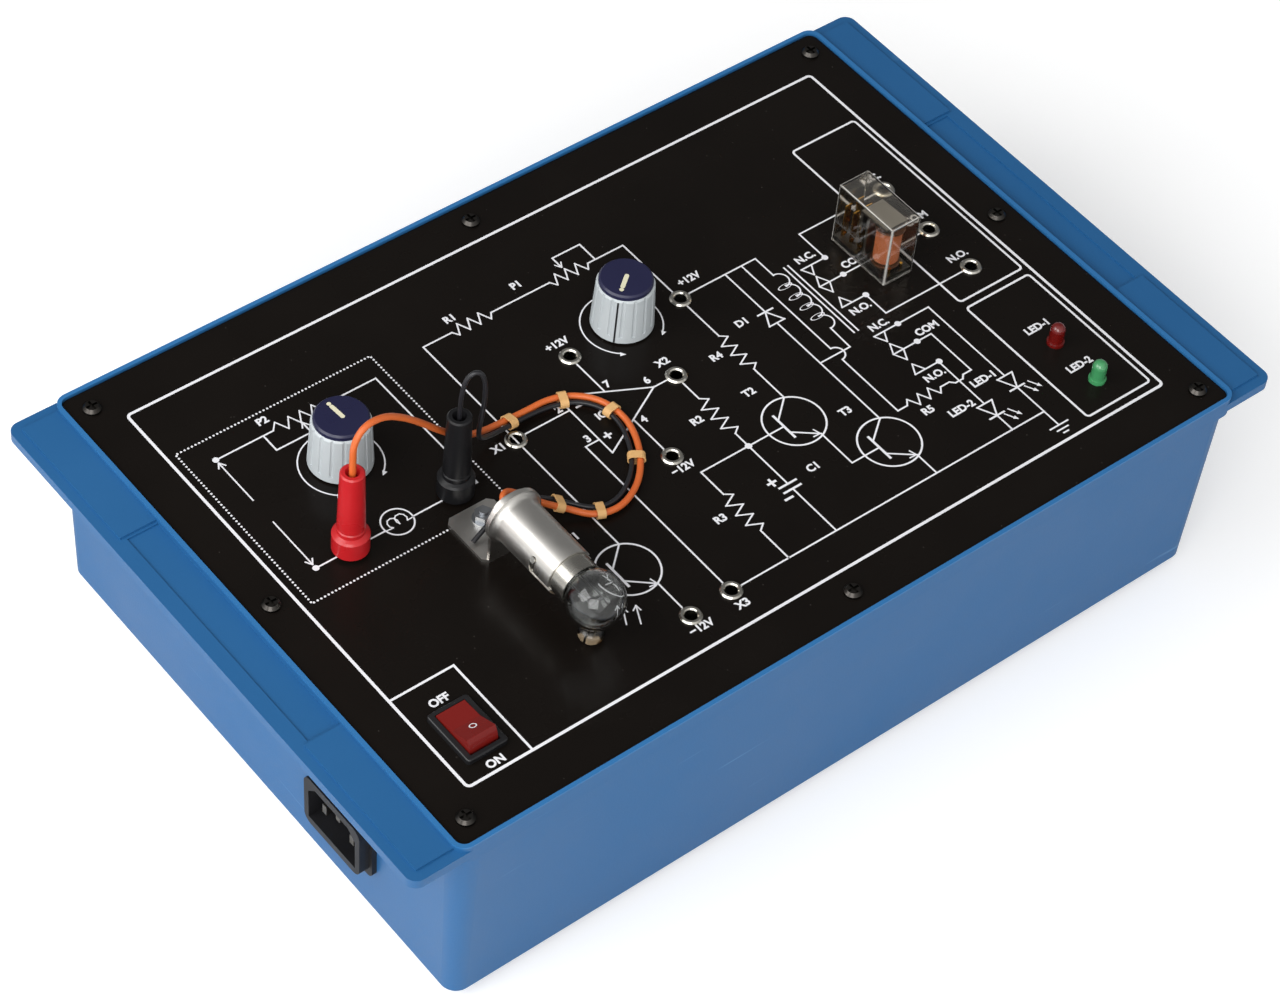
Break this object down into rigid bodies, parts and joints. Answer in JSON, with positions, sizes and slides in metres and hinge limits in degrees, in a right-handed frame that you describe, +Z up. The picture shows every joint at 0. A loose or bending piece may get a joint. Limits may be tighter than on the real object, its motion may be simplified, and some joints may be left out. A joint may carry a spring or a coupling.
{
  "type": "phototransistor trainer",
  "caption": "Bench trainer: moulded case with a black printed panel carrying a lamp over a phototransistor, two control knobs, patch sockets, relay, LEDs and mains switch.",
  "frame": {"origin": "on the table, in the middle under the four feet", "axes": "+X along the long side from the inlet end to the LED end, +Y to the back edge, +Z up"},
  "size_m": [0.3468, 0.2134, 0.137],
  "materials": {
    "blue_abs": "moulded ABS, fine grain, slightly glossy",
    "black_laminate": "glossy phenolic laminate with white screen print",
    "black_nickel_screw": "black nickel plated steel",
    "zinc_steel": "zinc plated steel",
    "black_rubber": "moulded rubber",
    "black_nylon": "moulded nylon",
    "red_polycarbonate": "translucent polycarbonate",
    "nickel_brass": "nickel plated brass",
    "tinned_metal": "tinned copper and brass",
    "pot_steel": "plated steel",
    "grey_knob": "moulded ABS, satin",
    "navy_cap": "moulded ABS, painted pointer",
    "red_epoxy": "tinted epoxy",
    "green_epoxy": "tinted epoxy",
    "clear_epoxy": "clear epoxy",
    "gold_lead": "gold plated",
    "plated_steel": "nickel plated steel",
    "brown_fibre": "vulcanised fibre",
    "brass_contact": "turned brass",
    "bulb_metal": "nickel plated brass",
    "bulb_clear": "blown glass",
    "tungsten": "drawn wire",
    "red_plug_plastic": "moulded PVC",
    "black_plug_plastic": "moulded PVC",
    "orange_pvc": "PVC insulated wire",
    "black_pvc": "PVC insulated wire",
    "cream_tie": "wrapped tape",
    "relay_clear": "clear polycarbonate",
    "relay_nylon": "moulded nylon",
    "enamelled_copper": "enamelled copper wire",
    "soft_iron": "plated soft iron",
    "board_laminate": "paper phenolic board",
    "component_black": "moulded epoxy",
    "metal_can": "drawn can",
    "resistor_body": "lacquered",
    "core_steel": "varnished laminations",
    "coil_tape": "polyester tape over enamelled wire"
  },
  "bodies": {
    "case": {"black_lead": "black_pvc", "black_plug": "black_plug_plastic", "board_cans": "metal_can", "board_chip": "component_black", "board_resistors": "resistor_body", "board_spacers": "nickel_brass", "bracket_fixing": "zinc_steel", "case_tub": "blue_abs", "control_board": "board_laminate", "face_panel": "black_laminate", "foot_screws": "zinc_steel", "green_led": "green_epoxy", "holder_insulator": "brown_fibre", "holder_plunger": "brass_contact", "holder_spring": "plated_steel", "inlet_pins": "nickel_brass", "inner_screws": "zinc_steel", "intensity_pot_case": "pot_steel", "lamp_bracket": "plated_steel", "lamp_holder": "plated_steel", "lead_ties": "cream_tie", "led_leads": "tinned_metal", "mains_inlet": "black_nylon", "orange_lead": "orange_pvc", "panel_nuts": "nickel_brass", "panel_screws": "black_nickel_screw", "phototransistor": "clear_epoxy", "phototransistor_leads": "gold_lead", "plug_pins": "nickel_brass", "red_led": "red_epoxy", "red_plug": "red_plug_plastic", "relay_base": "relay_nylon", "relay_contacts": "gold_lead", "relay_cover": "relay_clear", "relay_former": "relay_nylon", "relay_winding": "enamelled_copper", "relay_yoke": "soft_iron", "rubber_feet": "black_rubber", "sensitivity_pot_case": "pot_steel", "socket_barrels": "nickel_brass", "supply_board": "board_laminate", "supply_capacitors": "metal_can", "supply_fins": "metal_can", "supply_semiconductors": "component_black", "switch_housing": "black_nylon", "switch_terminals": "tinned_metal", "transformer_coil": "coil_tape", "transformer_core": "core_steel", "transformer_frame": "zinc_steel"},
    "rocker": {"switch_rocker": "red_polycarbonate"},
    "intensity_dial": {"intensity_shaft": "pot_steel", "intensity_knob": "grey_knob", "intensity_knob_cap": "navy_cap"},
    "sensitivity_dial": {"sensitivity_shaft": "pot_steel", "sensitivity_knob": "grey_knob", "sensitivity_knob_cap": "navy_cap"},
    "armature": {"relay_armature": "soft_iron"},
    "bulb": {"bulb_cap": "bulb_metal", "bulb_glass": "bulb_clear", "bulb_filament": "tungsten"}
  },
  "joints": [
    {"name": "switch_rock", "type": "hinge", "parent": "case", "child": "rocker", "pos_m": [-0.1283, -0.072, 0.0817], "axis": [1, 0, 0], "range_deg": [0, 28]},
    {"name": "intensity_turn", "type": "hinge", "parent": "case", "child": "intensity_dial", "pos_m": [-0.0968, 0.0356, 0.082], "axis": [0, 0, 1], "range_deg": [-154, 146]},
    {"name": "sensitivity_turn", "type": "hinge", "parent": "case", "child": "sensitivity_dial", "pos_m": [0.0128, 0.0328, 0.082], "axis": [0, 0, 1], "range_deg": [-278, 22]},
    {"name": "armature_pull", "type": "hinge", "parent": "case", "child": "armature", "pos_m": [0.1003, 0.0093, 0.10204], "axis": [1, 0, 0], "range_deg": [0, 3.5], "stiffness_Nm_per_rad": 0.002, "springref_deg": -11.46},
    {"name": "bulb_twist", "type": "hinge", "parent": "case", "child": "bulb", "pos_m": [-0.0766, -0.0445, 0.1], "axis": [0, -1, 0], "range_deg": [0, 40]}
  ]
}
